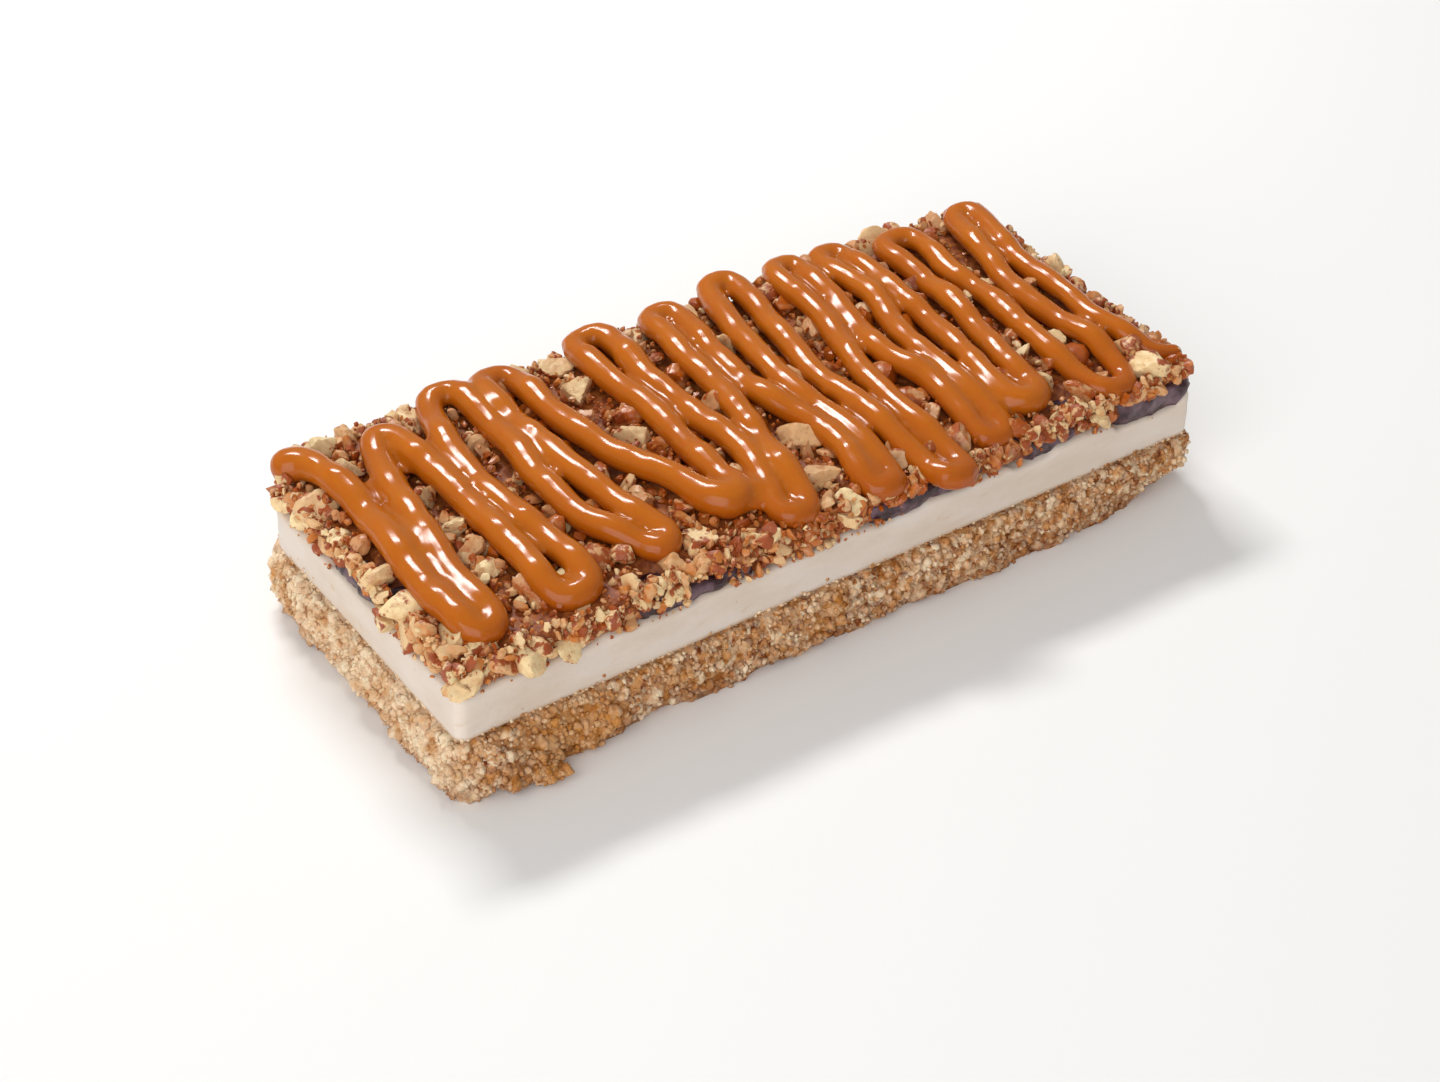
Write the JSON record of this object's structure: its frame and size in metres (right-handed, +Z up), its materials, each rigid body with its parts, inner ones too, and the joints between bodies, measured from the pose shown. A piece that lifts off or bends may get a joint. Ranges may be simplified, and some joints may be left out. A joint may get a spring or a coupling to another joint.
{
  "type": "pecan bar",
  "caption": "Oblong slice of cake: crumb base, cream layer, thin chocolate layer, and chopped pecans under a thick zigzag of caramel.",
  "frame": {"origin": "middle of the flat underside of the crumb base", "axes": "+X along the slice's length, +Y across it to the back, +Z up through the layers"},
  "size_m": [0.1198, 0.0578, 0.0238],
  "materials": {
    "baked_crumb": "dry, rough and granular, tan to golden brown",
    "set_cream": "smooth with a soft sheen, off-white",
    "dark_chocolate": "dark purple-brown, satin with glossy spots",
    "pecan_and_caramel": "glossy orange-brown caramel over matte chopped nuts"
  },
  "bodies": {
    "root": {"crumb_base": "baked_crumb", "cream_layer": "set_cream", "chocolate_layer": "dark_chocolate", "pecan_topping": "pecan_and_caramel"}
  },
  "joints": []
}
